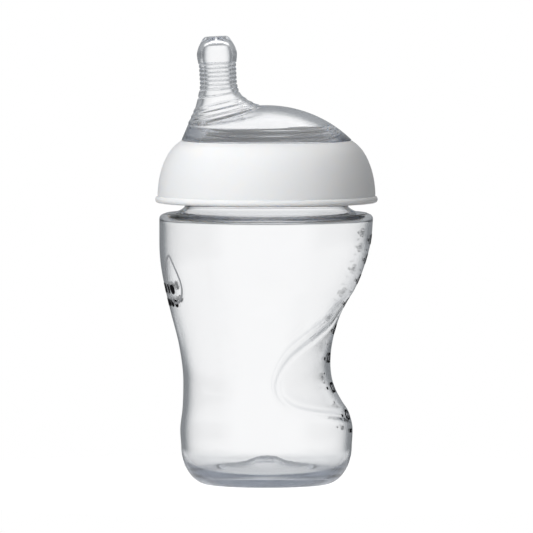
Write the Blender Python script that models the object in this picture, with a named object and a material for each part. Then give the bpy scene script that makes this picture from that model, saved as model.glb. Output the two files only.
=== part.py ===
"""A wide-neck baby feeding bottle: a clear bottle, a clear silicone teat and a white screw ring.

The origin is on the bottle's axis, where the base stands. +Z is up, the teat's nipple is set off towards
-X and the bottle's grip recess faces +X. The three pieces are separate solids. The ring's right-hand thread
turns on the neck's, so the ring climbs THREAD_PITCH for each turn, and the teat's flange lies between the
ring's lip and the rim.
"""

import math

import bmesh
import bpy
import numpy as np
from mathutils import Vector

MM = 0.001

# Driving dimensions of the bottle.
BODY_HEIGHT = 98.0 * MM  # from the floor to the shoulder's outer edge
NECK_RADIUS = 29.3 * MM  # outside of the neck, under the thread
NECK_BORE = 27.3 * MM
RIM_HEIGHT = 120.0 * MM
WALL = 1.3 * MM
STANDING_RADIUS = 21.0 * MM  # outer edge of the flat ring that the bottle stands on
STANDING_WIDTH = 2.5 * MM
HEEL_HEIGHT = 14.0 * MM  # the round stretch between the standing ring and the side
SHOULDER_EDGE = 1.8 * MM  # radius of the shoulder's outer edge
SHOULDER_RISE = 0.3 * MM
NECK_FILLET = (7.2 * MM, 3.4 * MM)  # half widths of its ellipse, outward and up
CREASE = 0.8 * MM  # softness of the edge round the grip recess

# Radius of the round side at each height.
SIDE = [
    (14.0, 30.9), (19.5, 31.25), (28.0, 30.4), (37.0, 30.15), (50.0, 31.6),
    (64.5, 35.2), (79.0, 38.2), (88.0, 38.8), (98.0, 38.8),
]
# Reach of the side towards +X, which is flatter than the round side below the shoulder.
BACK = [
    (14.0, 30.9), (19.5, 31.2), (28.0, 29.9), (37.0, 28.4), (46.0, 27.1), (54.0, 26.8),
    (60.0, 27.3), (66.0, 29.2), (70.3, 31.7), (76.0, 34.3), (82.0, 36.3), (88.0, 37.8), (98.0, 38.7),
]
# Reach of the grip recess towards +X, seen from the side. Beyond the body it cuts nothing.
GRIP = [
    (12.0, 37.0), (18.0, 33.4), (22.5, 31.3), (26.8, 29.5), (30.0, 27.4), (34.0, 25.2), (38.0, 23.8),
    (44.0, 23.15), (50.0, 23.6), (57.3, 25.3), (63.0, 27.4), (67.4, 30.1), (72.0, 33.9), (78.0, 39.5),
]
# Radius of the grip recess in plan, at each height.
GRIP_ROUND = [
    (12.0, 38.0), (22.0, 34.0), (28.0, 31.7), (38.0, 32.5), (45.0, 35.8), (49.0, 39.5), (53.0, 46.0),
    (57.0, 57.0), (64.0, 90.0), (98.0, 90.0),
]
# Height of the inside of the floor, which rises to a knob in the middle, at each radius.
FLOOR = [(0.0, 9.8), (3.2, 9.5), (5.2, 8.5), (7.5, 7.4), (11.0, 6.3), (18.0, 4.9), (23.0, 4.3)]
FLOOR_THICKNESS = 2.2 * MM

# Driving dimensions of the thread, which is right-handed and has one start.
THREAD_PITCH = 4.5 * MM
THREAD_TURNS = 1.25
THREAD_CREST = 31.0 * MM  # of the neck's thread
THREAD_BOTTOM = 108.2 * MM  # height of the neck's thread where it starts
THREAD_ROOT_WIDTH = 2.5 * MM
THREAD_CREST_WIDTH = 1.2 * MM
THREAD_EMBED = 0.9 * MM  # how deep a ridge goes into the wall that carries it
THREAD_FADE = 20.0  # degrees over which a ridge rises at its ends
RING_THREAD_CREST = 29.8 * MM
RING_ROOT_WIDTH = 1.9 * MM
RING_CREST_WIDTH = 0.8 * MM

# Driving dimensions of the screw ring.
RING_BOTTOM = 102.1 * MM
RING_TOP = 124.5 * MM
RING_BORE = 31.5 * MM  # inside of the threaded sleeve
RING_SLEEVE = 33.2 * MM  # outside of the threaded sleeve
RING_LIP_HOLE = 26.9 * MM
RING_LIP_UNDERSIDE = 122.0 * MM
RING_CENTRE = (27.7 * MM, 104.0 * MM)  # of the ellipse that the dome follows, as radius and height
RING_DOME = (11.75 * MM, 21.2 * MM)  # its half widths
RING_SHELL = 1.8 * MM
BEAD_RADIUS = 40.25 * MM

# Driving dimensions of the teat.
SEAT_GAP = 0.3 * MM  # between faces that rest on each other
FLANGE_RADIUS = 30.6 * MM
FLANGE_THICKNESS = 1.4 * MM
GROOVE_RADIUS = 26.6 * MM  # the waist that the ring's lip sits in
TEAT_BORE = 24.9 * MM
DOME_RADIUS = 30.7 * MM
DOME_FOOT = 124.9 * MM
DOME_RISE = 12.4 * MM
NIPPLE_WAIST = (-17.3 * MM, 143.5 * MM)  # centre of the nipple where it starts to be round
NIPPLE_LEAN = math.radians(3.0)  # towards -X
GROOVES = 6  # round the nipple
FIRST_GROOVE = 1.4 * MM  # above the waist
GROOVE_PITCH = 1.5 * MM
GROOVE_DEPTH = 0.3 * MM
TEAT_WALL = 2.3 * MM
COLLAR_TOP = (22.0 * MM, 128.8 * MM)  # where the thick foot's bore meets the inside of the dome
NIPPLE_WALL = 1.6 * MM
MILK_HOLE = 0.4 * MM
# Outside of the nipple above its waist: distance along its axis and radius.
NIPPLE = [(0.0, 6.95), (1.6, 6.7), (8.0, 6.7), (9.6, 6.95), (12.3, 7.25), (14.6, 6.75), (15.9, 6.15),
          (17.2, 5.3), (18.2, 4.4), (18.6, 3.6)]
NIPPLE_TIP = 18.75 * MM
# The nipple's flare between its foot and its waist, as X and Z on the dome's side and on the outer side.
FLARE_NEAR = [
    (-2.4, 137.25), (-4.4, 138.0), (-6.8, 139.2), (-8.6, 140.6), (-9.8, 142.2), (-10.36, 143.86),
]
FLARE_FAR = [
    (-28.4, 130.3), (-27.4, 132.5), (-26.5, 134.5), (-25.7, 136.6), (-24.95, 139.6), (-24.24, 143.14),
]

SIDES = 40  # facets round the bottle and the ring
TEAT_SIDES = 32


def curve(points):
    """A smooth function through (position, value) points in millimetres. It works in metres.

    Its slopes are held back so that it never overshoots a point."""
    x, y = (np.array(column) * MM for column in zip(*points))
    rise = np.diff(y) / np.diff(x)
    slope = np.concatenate([rise[:1], (rise[1:] + rise[:-1]) / 2, rise[-1:]])
    for i in range(1, len(rise)):
        if rise[i - 1] * rise[i] <= 0:
            slope[i] = 0
        else:
            steepest = 3 * min(abs(rise[i - 1]), abs(rise[i]))
            slope[i] = math.copysign(min(abs(slope[i]), steepest), rise[i])

    def value(at):
        at = min(max(at, x[0]), x[-1])
        i = min(int(np.searchsorted(x, at, side="right")) - 1, len(rise) - 1)
        width = x[i + 1] - x[i]
        t = (at - x[i]) / width
        keep = (1 + 2 * t) * (1 - t) ** 2 * y[i] + t * t * (3 - 2 * t) * y[i + 1]
        return keep + width * t * (1 - t) * ((1 - t) * slope[i] - t * slope[i + 1])

    return value


side, back, grip, grip_round, floor_height = (curve(c) for c in (SIDE, BACK, GRIP, GRIP_ROUND, FLOOR))
nipple_radius = curve(NIPPLE)


def softer_min(a, b, softness):
    share = min(max(0.5 + 0.5 * (b - a) / softness, 0), 1)
    return b + (a - b) * share - softness * share * (1 - share)


def body_radius(angle, z):
    """How far the outside of the body is from its axis. The grip recess is a round cut in the +X side."""
    c, s = math.cos(angle), math.sin(angle)
    reach = back(z) if c > 0 else side(z)
    body = 1 / math.hypot(c / reach, s / side(z))
    centre = grip(z) - grip_round(z)
    recess = centre * c + math.sqrt(grip_round(z) ** 2 - (centre * s) ** 2)
    return softer_min(body, recess, CREASE)


def angles(count):
    return [2 * math.pi * i / count for i in range(count)]


def circle(radius, z, count):
    return [Vector((radius * math.cos(a), radius * math.sin(a), z)) for a in angles(count)]


def body_ring(z, wall=0.0):
    """Points round the body at a height, or round its inside where there is a wall."""
    ring = []
    for a in angles(SIDES):
        radius = body_radius(a, z) - wall
        ring.append(Vector((radius * math.cos(a), radius * math.sin(a), z)))
    return ring


def arc(centre, radii, start, end, steps):
    """Points (radius, height) along part of an ellipse, with angles in degrees from the outward direction."""
    turns = np.radians(np.linspace(start, end, steps))
    return [(centre[0] + radii[0] * math.cos(t), centre[1] + radii[1] * math.sin(t)) for t in turns]


def skin(mesh, rings, joined=False):
    """Faces between rings of the same number of points. The ends are joined to each other, or closed."""
    made = [[mesh.verts.new(point) for point in ring] for ring in rings]
    pairs = list(zip(made, made[1:]))
    if joined:
        pairs.append((made[-1], made[0]))
    for low, high in pairs:
        count = len(low)
        for i in range(count):
            j = (i + 1) % count
            mesh.faces.new((low[i], low[j], high[j], high[i]))
    if not joined:
        for ring in (made[0], made[-1]):
            centre = mesh.verts.new(sum((v.co for v in ring), Vector()) / len(ring))
            for i, vertex in enumerate(ring):
                mesh.faces.new((centre, vertex, ring[(i + 1) % len(ring)]))


def solid(name, mesh, material, height=0.0):
    """An object on the bottle's axis, with its origin at that height."""
    for vertex in mesh.verts:
        vertex.co.z -= height
    bmesh.ops.recalc_face_normals(mesh, faces=mesh.faces)
    data = bpy.data.meshes.new(name)
    mesh.to_mesh(data)
    mesh.free()
    data.shade_smooth()
    data.set_sharp_from_angle(angle=math.radians(35))
    made = bpy.data.objects.new(name, data)
    bpy.context.scene.collection.objects.link(made)
    made.location.z = height
    if material:
        data.materials.append(material)
    return made


def join_ridge(carrier, ridge):
    """Makes a ridge part of the piece that carries it."""
    ridge.hide_render = True
    ridge.display_type = "WIRE"
    union = carrier.modifiers.new("thread", "BOOLEAN")
    union.operation = "UNION"
    union.solver = "EXACT"
    union.object = ridge


def material(name, colour, roughness, transmission=0.0):
    made = bpy.data.materials.new(name)
    made.use_nodes = True
    shader = made.node_tree.nodes["Principled BSDF"]
    shader.inputs["Base Color"].default_value = (*colour, 1)
    shader.inputs["Roughness"].default_value = roughness
    shader.inputs["Metallic"].default_value = 0.0
    shader.inputs["Transmission Weight"].default_value = transmission
    return made


def thread_ridge(name, wall, crest, root_width, crest_width, start, height):
    """A helical ridge of trapezoid section, which rises from nothing at each end."""
    inward = math.copysign(1, wall - crest)
    root = wall + inward * THREAD_EMBED
    flat = wall + inward * THREAD_EMBED / 3  # where the crest is at the ends, inside the wall
    stations = round(36 * THREAD_TURNS)
    sections = []
    for i in range(stations + 1):
        turned = 360 * THREAD_TURNS * i / stations
        fade = min(1, turned / THREAD_FADE, (360 * THREAD_TURNS - turned) / THREAD_FADE)
        top = flat + (crest - flat) * fade
        angle = math.radians(turned)
        z = start + THREAD_PITCH * turned / 360
        corners = ((root, -root_width), (top, -crest_width), (top, crest_width), (root, root_width))
        sections.append(
            [Vector((r * math.cos(angle), r * math.sin(angle), z + w / 2)) for r, w in corners]
        )
    mesh = bmesh.new()
    skin(mesh, sections)
    return solid(name, mesh, None, height)


def bottle(clear):
    """The bottle, from the middle of its underside, up the outside, over the rim and down inside."""
    body_top = BODY_HEIGHT - SHOULDER_EDGE
    outside = []
    for radius in (3.0, 6.0, 10.0, 15.0):
        outside.append(circle(radius * MM, floor_height(radius * MM) - FLOOR_THICKNESS, SIDES))
    outside.append(circle(STANDING_RADIUS - STANDING_WIDTH, 0, SIDES))
    outside.append(circle(STANDING_RADIUS, 0, SIDES))
    heel_reach = side(HEEL_HEIGHT) - STANDING_RADIUS
    for radius, z in arc((STANDING_RADIUS, HEEL_HEIGHT), (heel_reach, HEEL_HEIGHT), -78, -13, 5):
        outside.append(circle(radius, z, SIDES))

    side_heights = np.linspace(HEEL_HEIGHT, body_top, 17)
    for z in side_heights:
        outside.append(body_ring(z))

    edge = side(body_top) - SHOULDER_EDGE
    shoulder = arc((edge, body_top), (SHOULDER_EDGE, SHOULDER_EDGE), 30, 90, 3)
    wide, high = NECK_FILLET
    shoulder += arc((NECK_RADIUS + wide, BODY_HEIGHT + SHOULDER_RISE + high), NECK_FILLET, 270, 180, 4)
    for radius, z in shoulder:
        outside.append(circle(radius, z, SIDES))
    outside.append(circle(NECK_RADIUS, RIM_HEIGHT - 0.6 * MM, SIDES))
    outside.append(circle(NECK_RADIUS - 0.5 * MM, RIM_HEIGHT, SIDES))

    inside = [circle(NECK_BORE + 0.5 * MM, RIM_HEIGHT, SIDES)]
    inside.append(circle(NECK_BORE, RIM_HEIGHT - 0.6 * MM, SIDES))
    shoulder_inside = BODY_HEIGHT - WALL
    corner = (NECK_BORE + wide + WALL, shoulder_inside + SHOULDER_RISE + high)
    for radius, z in arc(corner, (wide + WALL, high), 180, 270, 4):
        inside.append(circle(radius, z, SIDES))
    inside.append(circle(side(body_top) - WALL - SHOULDER_EDGE / 2, shoulder_inside, SIDES))
    for z in side_heights[-3::-2]:
        inside.append(body_ring(z, WALL))
    low = floor_height(23 * MM)
    heel_inside = (23 * MM, HEEL_HEIGHT)
    reach = side(HEEL_HEIGHT) - WALL - heel_inside[0]
    for radius, z in arc(heel_inside, (reach, HEEL_HEIGHT - low), -15, -90, 5):
        inside.append(circle(radius, z, SIDES))
    for radius in (18.0, 11.0, 7.5, 5.2, 3.2):
        inside.append(circle(radius * MM, floor_height(radius * MM), SIDES))

    mesh = bmesh.new()
    skin(mesh, outside + inside)
    made = solid("bottle", mesh, clear)
    join_ridge(made, thread_ridge("neck_thread", NECK_RADIUS, THREAD_CREST, THREAD_ROOT_WIDTH,
                                  THREAD_CREST_WIDTH, THREAD_BOTTOM, 0.0))
    return made


def screw_ring(white):
    """The ring: a domed shell with a bead at its foot, a threaded sleeve, and a lip that holds the teat."""
    inner_dome = tuple(half - RING_SHELL for half in RING_DOME)
    outline = [
        (RING_BORE + 0.5 * MM, RING_BOTTOM + 0.7 * MM),
        (RING_BORE, RING_BOTTOM + 1.2 * MM),
        (RING_BORE, RING_LIP_UNDERSIDE - 0.3 * MM),
        (RING_BORE - 0.3 * MM, RING_LIP_UNDERSIDE),
        (RING_LIP_HOLE + 0.3 * MM, RING_LIP_UNDERSIDE),
        (RING_LIP_HOLE, RING_LIP_UNDERSIDE + 0.3 * MM),
        (RING_LIP_HOLE, RING_LIP_UNDERSIDE + 1.3 * MM),
        (RING_LIP_HOLE + 0.3 * MM, RING_LIP_UNDERSIDE + 1.6 * MM),
        (30.1 * MM, RING_TOP - 0.3 * MM),
        (30.7 * MM, RING_TOP),
    ]
    outline += arc(RING_CENTRE, RING_DOME, 73, 3, 10)
    outline += arc((BEAD_RADIUS - 1.0 * MM, RING_BOTTOM + 1.2 * MM), (1.0 * MM, 1.2 * MM), 60, -90, 5)
    outline += [(38.1 * MM, RING_BOTTOM)]
    outline += arc(RING_CENTRE, inner_dome, 0, 52, 5)
    outline += [(RING_SLEEVE + 0.4 * MM, 118.6 * MM), (RING_SLEEVE, 117.6 * MM)]
    outline += [(RING_SLEEVE, RING_BOTTOM + 1.2 * MM), (RING_SLEEVE - 0.4 * MM, RING_BOTTOM + 0.7 * MM)]
    mesh = bmesh.new()
    skin(mesh, [circle(radius, z, SIDES) for radius, z in outline], joined=True)
    made = solid("screw_ring", mesh, white, RING_BOTTOM)
    join_ridge(made, thread_ridge("ring_thread", RING_BORE, RING_THREAD_CREST, RING_ROOT_WIDTH,
                                  RING_CREST_WIDTH, THREAD_BOTTOM - THREAD_PITCH / 2, RING_BOTTOM))
    return made


def tilted_circle(near, far, count):
    """A circle across the teat, from a point on the dome's side to one on the outer side, as X and Z."""
    centre = Vector(((near[0] + far[0]) / 2, 0, (near[1] + far[1]) / 2))
    along = Vector(((near[0] - far[0]) / 2, 0, (near[1] - far[1]) / 2))
    across = Vector((0, along.length, 0))
    return [centre + along * math.cos(a) + across * math.sin(a) for a in angles(count)]


def nipple_circle(height, radius, count):
    """A circle round the nipple's leaning axis, at that distance above its waist."""
    axis = Vector((-math.sin(NIPPLE_LEAN), 0, math.cos(NIPPLE_LEAN)))
    centre = Vector((NIPPLE_WAIST[0], 0, NIPPLE_WAIST[1])) + axis * height
    along = Vector((axis.z, 0, -axis.x)) * radius
    return [centre + along * math.cos(a) + Vector((0, radius * math.sin(a), 0)) for a in angles(count)]


def dome_circle(share, wall, count):
    """A circle of the dome, from its foot at share 0 to the nipple's foot at 1, or of its inside."""
    dome = (DOME_RADIUS**2 + DOME_RISE**2) / (2 * DOME_RISE)
    middle = DOME_FOOT + DOME_RISE - dome
    first = math.asin(DOME_RADIUS / dome)
    last = math.asin(FLARE_NEAR[0][0] * MM / dome)
    turn = first + (last - first) * share
    near = ((dome - wall) * math.sin(turn), middle + (dome - wall) * math.cos(turn))
    foot = Vector((-DOME_RADIUS, DOME_FOOT))
    rise = Vector(FLARE_FAR[0]) * MM - foot
    far = foot + rise * share
    slope = rise.normalized()
    far += Vector((slope.y, -slope.x)) * wall
    return tilted_circle(near, far, count)


def flare_circle(share, wall, count):
    """A circle of the nipple's flare, from its foot at share 0 to the nipple's waist at 1."""
    position = share * (len(FLARE_NEAR) - 1)
    i = min(int(position), len(FLARE_NEAR) - 2)
    rest = position - i
    near, far = (Vector(p[i]).lerp(Vector(p[i + 1]), rest) * MM for p in (FLARE_NEAR, FLARE_FAR))
    along = (near - far).normalized()
    down = Vector((along.y, -along.x)) * wall * (1 - share) * 0.6
    inset = along * wall * (0.55 + 0.45 * share)
    return tilted_circle(near - inset + down, far + inset + down, count)


def teat(silicone):
    """The teat, from the edge of its milk hole, down the outside, round the flange and up the inside."""
    tip = NIPPLE_TIP
    outside = [nipple_circle(tip, MILK_HOLE, TEAT_SIDES)]
    for height in (18.6, 18.2, 17.2, 15.9, 14.6, 12.3, 9.9):
        outside.append(nipple_circle(height * MM, nipple_radius(height * MM), TEAT_SIDES))
    for groove in range(GROOVES - 1, -1, -1):
        height = FIRST_GROOVE + groove * GROOVE_PITCH
        outside.append(nipple_circle(height, nipple_radius(height) - GROOVE_DEPTH, TEAT_SIDES))
        land = height - GROOVE_PITCH / 2
        outside.append(nipple_circle(land, nipple_radius(land), TEAT_SIDES))
    for share in (1.0, 0.8, 0.6, 0.4, 0.2):
        outside.append(flare_circle(share, 0.0, TEAT_SIDES))
    for share in np.linspace(1, 0, 8):
        outside.append(dome_circle(share, 0.0, TEAT_SIDES))

    flange_foot = RIM_HEIGHT + SEAT_GAP
    flange_top = flange_foot + FLANGE_THICKNESS
    edge = 0.3 * MM
    foot = [
        (DOME_RADIUS - edge, DOME_FOOT - edge),
        (GROOVE_RADIUS + edge, RING_LIP_UNDERSIDE + 1.6 * MM + SEAT_GAP),
        (GROOVE_RADIUS, RING_LIP_UNDERSIDE + 1.6 * MM),
        (GROOVE_RADIUS, flange_top),
        (FLANGE_RADIUS - edge, flange_top),
        (FLANGE_RADIUS, flange_top - edge),
        (FLANGE_RADIUS, flange_foot + edge),
        (FLANGE_RADIUS - edge, flange_foot),
        (TEAT_BORE + edge, flange_foot),
        (TEAT_BORE, flange_foot + edge),
    ]
    outside += [circle(radius, z, TEAT_SIDES) for radius, z in foot]

    inside = [circle(*COLLAR_TOP, TEAT_SIDES)]
    for share in (0.45, 0.6, 0.8, 1.0):
        inside.append(dome_circle(share, TEAT_WALL, TEAT_SIDES))
    for share in (0.35, 0.7, 1.0):
        inside.append(flare_circle(share, NIPPLE_WALL, TEAT_SIDES))
    for height in (3.0, 8.0, 12.3, 14.6, 16.0):
        inside.append(nipple_circle(height * MM, nipple_radius(height * MM) - NIPPLE_WALL, TEAT_SIDES))
    inside.append(nipple_circle(tip - NIPPLE_WALL, 3.0 * MM, TEAT_SIDES))
    inside.append(nipple_circle(tip - NIPPLE_WALL, MILK_HOLE, TEAT_SIDES))

    mesh = bmesh.new()
    skin(mesh, outside + inside, joined=True)
    return solid("teat", mesh, silicone, RIM_HEIGHT)


def main():
    for old in list(bpy.data.objects):
        bpy.data.objects.remove(old, do_unlink=True)
    bottle(material("clear_polypropylene", (0.93, 0.94, 0.96), 0.08, 0.95))
    screw_ring(material("white_polypropylene", (0.93, 0.93, 0.92), 0.35))
    teat(material("clear_silicone", (0.9, 0.91, 0.93), 0.12, 0.9))


main()
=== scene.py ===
"""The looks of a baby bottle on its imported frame: fine meshes, materials, printed scale, studio, camera."""

import math

import bmesh
import bpy
import numpy as np
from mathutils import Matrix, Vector

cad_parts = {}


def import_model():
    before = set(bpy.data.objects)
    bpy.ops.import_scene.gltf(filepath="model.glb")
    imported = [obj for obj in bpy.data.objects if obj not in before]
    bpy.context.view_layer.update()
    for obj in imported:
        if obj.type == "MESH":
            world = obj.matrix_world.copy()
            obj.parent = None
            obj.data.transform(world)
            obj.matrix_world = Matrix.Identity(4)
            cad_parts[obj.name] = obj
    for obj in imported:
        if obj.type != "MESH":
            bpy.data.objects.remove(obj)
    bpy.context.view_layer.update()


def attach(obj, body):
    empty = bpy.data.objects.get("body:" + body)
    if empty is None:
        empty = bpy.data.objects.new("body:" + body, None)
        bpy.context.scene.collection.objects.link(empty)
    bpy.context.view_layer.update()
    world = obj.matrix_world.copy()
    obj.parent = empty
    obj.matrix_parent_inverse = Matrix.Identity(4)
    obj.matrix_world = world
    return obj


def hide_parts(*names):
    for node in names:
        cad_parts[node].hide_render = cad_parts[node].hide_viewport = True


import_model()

MM = 0.001
TURN = 2 * math.pi

# ----------------------------------------------------------------------------------------------------
# Shape of the three pieces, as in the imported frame. Curves hold (height, radius) in
# millimetres, and the floor's holds (radius, height).
SIDE = [
    (14.0, 30.9), (19.5, 31.25), (28.0, 30.4), (37.0, 30.15), (50.0, 31.6),
    (64.5, 35.2), (79.0, 38.2), (88.0, 38.8), (98.0, 38.8),
]
BACK = [
    (14.0, 30.9), (19.5, 31.2), (28.0, 29.9), (37.0, 28.4), (46.0, 27.1), (54.0, 26.8),
    (60.0, 27.3), (66.0, 29.2), (70.3, 31.7), (76.0, 34.3), (82.0, 36.3), (88.0, 37.8), (98.0, 38.7),
]
GRIP = [
    (12.0, 37.0), (18.0, 33.4), (22.5, 31.3), (26.8, 29.5), (30.0, 27.4), (34.0, 25.2), (38.0, 23.8),
    (44.0, 23.15), (50.0, 23.6), (57.3, 25.3), (63.0, 27.4), (67.4, 30.1), (72.0, 33.9), (78.0, 39.5),
]
GRIP_ROUND = [
    (12.0, 38.0), (22.0, 34.0), (28.0, 31.7), (38.0, 32.5), (45.0, 35.8), (49.0, 39.5), (53.0, 46.0),
    (57.0, 57.0), (64.0, 90.0), (98.0, 90.0),
]
FLOOR = [(0.0, 9.8), (3.2, 9.5), (5.2, 8.5), (7.5, 7.4), (11.0, 6.3), (18.0, 4.9), (23.0, 4.3)]
FLOOR_THICKNESS = 2.2 * MM
FLOOR_MIDDLE = 0.4 * MM  # radius of the smallest ring of faces
PUSHED_UP = 15 * MM  # radius of the pushed-up part underneath
FLOOR_INSIDE = 22.4 * MM  # radius of the floor's inside
CREASE = 0.8 * MM  # how softly the body turns into the recess
CREASE_RIDGE = (0.45 * MM, 1.1 * MM)  # height and half width of the thicker line along it, on the inside
CREASE_FADE = (26.0 * MM, 20.0 * MM, 0.85)  # where that line starts to grow, over what rise, its share below
PRINT_HALF_WIDTH = 13.0 * MM
GRIP_EDGE = 5.0 * MM  # width over which the frosted grip begins beside the print
WALL = 1.3 * MM
STANDING_RADIUS = 21.0 * MM
STANDING_WIDTH = 2.5 * MM
STANDING_EDGE = 0.9 * MM
HEEL_HEIGHT = 14.0 * MM
BODY_HEIGHT = 98.0 * MM
SHOULDER_EDGE = 1.8 * MM
SHOULDER_RISE = 0.3 * MM
NECK_FILLET = (7.2 * MM, 3.4 * MM)  # width and height
INNER_FILLET = (6.2 * MM, 5.4 * MM)
NECK_RADIUS = 29.3 * MM
NECK_BORE = 27.3 * MM
RIM_HEIGHT = 120.0 * MM
RIM_EDGE = (0.5 * MM, 0.6 * MM)

# The thread: one start, right-handed.
THREAD_PITCH = 4.5 * MM
THREAD_TURNS = 1.25
THREAD_BOTTOM = 108.2 * MM
THREAD_FADE = 20.0  # degrees
NECK_RIDGE = (1.7 * MM, 2.5 * MM, 1.2 * MM)  # height, width at its root and at its crest
RING_RIDGE = (1.7 * MM, 1.9 * MM, 0.8 * MM)

# The screw ring.
RING_BOTTOM = 102.1 * MM
RING_TOP = 124.5 * MM
RING_BORE = 31.5 * MM
RING_SLEEVE = 33.2 * MM
RING_LIP_HOLE = 26.9 * MM
RING_LIP_UNDERSIDE = 122.0 * MM
RING_LIP_TOP = 123.6 * MM
RING_EDGE = 0.7 * MM  # height of the chamfer at the sleeve's foot
RING_SOFT = 0.35 * MM  # radius of its small edges
RING_CENTRE = (27.7 * MM, 104.0 * MM)
RING_DOME = (11.75 * MM, 21.2 * MM)
RING_SHELL = 1.8 * MM
RING_RIM = [  # the rounded edge round the hole: (radius, how far below the top), in millimetres
    (30.1, 0.35), (30.35, 0.15), (30.6, 0.02), (30.8, 0.0), (31.05, 0.05), (31.3, 0.2),
]
BEAD_RADIUS = 40.25 * MM
BEAD = (1.0 * MM, 1.2 * MM)
RING_WAIST = [(39.38, 104.62), (39.36, 104.5)]  # between dome and bead: (radius, height), in millimetres
RING_FOOT = [(38.4, 0.0), (38.15, 0.25)]  # inside the bead: (radius, how far above the bottom), likewise
SLEEVE_TOP = 117.0 * MM
SLEEVE_CORNER = [(0.4, 118.6), (0.0, 117.6)]  # above it: (how much wider, height), in millimetres

# The teat.
FLANGE_RADIUS = 30.6 * MM
FLANGE_FOOT = 120.3 * MM
FLANGE_TOP = 121.7 * MM
GROOVE_RADIUS = 26.6 * MM
TEAT_BORE = 24.9 * MM
TEAT_SOFT = 0.3 * MM
COLLAR_TOP = (22.0 * MM, 128.8 * MM)
INNER_FOOT = (130.5 * MM, 0.7 * MM)  # where the inside of the dome starts on the outside, and its rise to +X
INNER_FLARE_FROM = 0.08
COLLAR_WAVE = 0.12 * MM
COLLAR_WAVE_LENGTH = 2.2 * MM
DOME_RADIUS = 30.7 * MM
DOME_FOOT = 124.9 * MM
DOME_RISE = 12.4 * MM
TEAT_WALL = 2.3 * MM
NIPPLE_WALL = 1.6 * MM
NIPPLE_WAIST = (-17.3 * MM, 143.5 * MM)
NIPPLE_LEAN = math.radians(3.0)
NIPPLE_TIP = 18.75 * MM
NIPPLE = [
    (0.0, 6.95), (1.6, 6.7), (8.0, 6.7), (9.6, 6.95), (12.3, 7.25), (14.6, 6.75), (15.9, 6.15), (17.2, 5.4),
    (18.2, 4.7), (18.6, 4.2),
]
NIPPLE_ROWS = [(18.6, 15.0, 0.15), (15.0, 9.5, 0.4), (9.5, 0.0, 0.07)]  # down it: from, to and step, in mm
INNER_TIP_FROM = 11.5 * MM
INNER_TIP = 17.3 * MM
MILK_HOLE = 0.4 * MM
FLARE_NEAR = [  # (x, z) up the foot of the nipple, on the dome's side and on the outer side
    (-2.4, 137.25), (-4.4, 138.0), (-6.8, 139.2), (-8.6, 140.6), (-9.8, 142.2), (-10.36, 143.86),
]
FLARE_FAR = [
    (-28.4, 130.3), (-27.4, 132.5), (-26.5, 134.5), (-25.7, 136.6), (-24.95, 139.6), (-24.24, 143.14),
]
FLARE_LENGTH = 9.0 * MM
GROOVE_PITCH = 1.5 * MM
GROOVE_DEPTH = 0.36 * MM
GROOVE_HALF_WIDTH = 0.19 * MM
GROOVES_FROM = -1.6 * MM  # along the nipple, from its waist
GROOVES = 8
FOOT_WAVES = 3  # low steps round the nipple's foot
FOOT_WAVE_HEIGHT = 0.3 * MM
FOOT_WAVE_END = 0.6  # share of the foot's height that has steps

SIDES = 256  # facets round the bottle and the ring
TEAT_SIDES = 160
FINE = 0.5 * MM  # height of a row of faces on the bottle's side
THREAD_ROW = 0.25 * MM  # and on the threads


def curve(points):
    """A smooth function in metres through (position, value) points in millimetres. It never overshoots."""
    x, y = (np.array(column) * MM for column in zip(*points))
    rise = np.diff(y) / np.diff(x)
    slope = np.concatenate([rise[:1], (rise[1:] + rise[:-1]) / 2, rise[-1:]])
    for i in range(1, len(rise)):
        if rise[i - 1] * rise[i] <= 0:
            slope[i] = 0
        else:
            slope[i] = math.copysign(min(abs(slope[i]), 3 * min(abs(rise[i - 1]), abs(rise[i]))), rise[i])

    def value(at):
        at = min(max(at, x[0]), x[-1])
        i = min(int(np.searchsorted(x, at, side="right")) - 1, len(rise) - 1)
        width = x[i + 1] - x[i]
        t = (at - x[i]) / width
        keep = (1 + 2 * t) * (1 - t) ** 2 * y[i] + t * t * (3 - 2 * t) * y[i + 1]
        return keep + width * t * (1 - t) * ((1 - t) * slope[i] - t * slope[i + 1])

    return value


side, back, grip, grip_round, floor_height = (curve(c) for c in (SIDE, BACK, GRIP, GRIP_ROUND, FLOOR))
nipple_radius = curve(NIPPLE)


def body_and_recess(angle, z):
    """How far the plain body and the round recess for the hand are from the axis, at an array of angles."""
    c, s = np.cos(angle), np.sin(angle)
    reach = np.where(c > 0, back(z), side(z))
    centre = grip(z) - grip_round(z)
    recess = centre * c + np.sqrt(grip_round(z) ** 2 - (centre * s) ** 2)
    return 1 / np.hypot(c / reach, s / side(z)), recess


def body_radius(angle, z):
    """How far the outside of the body is from its axis, at an array of angles."""
    body, recess = body_and_recess(angle, z)
    share = np.clip(0.5 + 0.5 * (recess - body) / CREASE, 0, 1)
    return recess + (body - recess) * share - CREASE * share * (1 - share)


def crease_ridge(angle, z):
    """How much thicker the wall is, along the crease round the recess."""
    def gap(angle, z):
        body, recess = body_and_recess(angle, z)
        return recess - body

    step = 0.5 * MM
    turn = step / NECK_RADIUS
    upwards = (gap(angle, z + step) - gap(angle, z - step)) / (2 * step)
    around = (gap(angle + turn, z) - gap(angle - turn, z)) / (2 * step)
    height, half_width = CREASE_RIDGE
    low, rise, least = CREASE_FADE
    height *= least + (1 - least) * ease((z - low) / rise)
    return height * np.exp(-((gap(angle, z) / np.hypot(upwards, around) / half_width) ** 2))


def turns(count):
    return TURN * np.arange(count) / count


def ring_at(radius, z, count=SIDES):
    """Points round the axis. The radius and the height may each be one value or one for each angle."""
    angle = turns(count)
    ring = np.empty((count, 3))
    ring[:, 0] = radius * np.cos(angle)
    ring[:, 1] = radius * np.sin(angle)
    ring[:, 2] = z
    return ring


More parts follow.
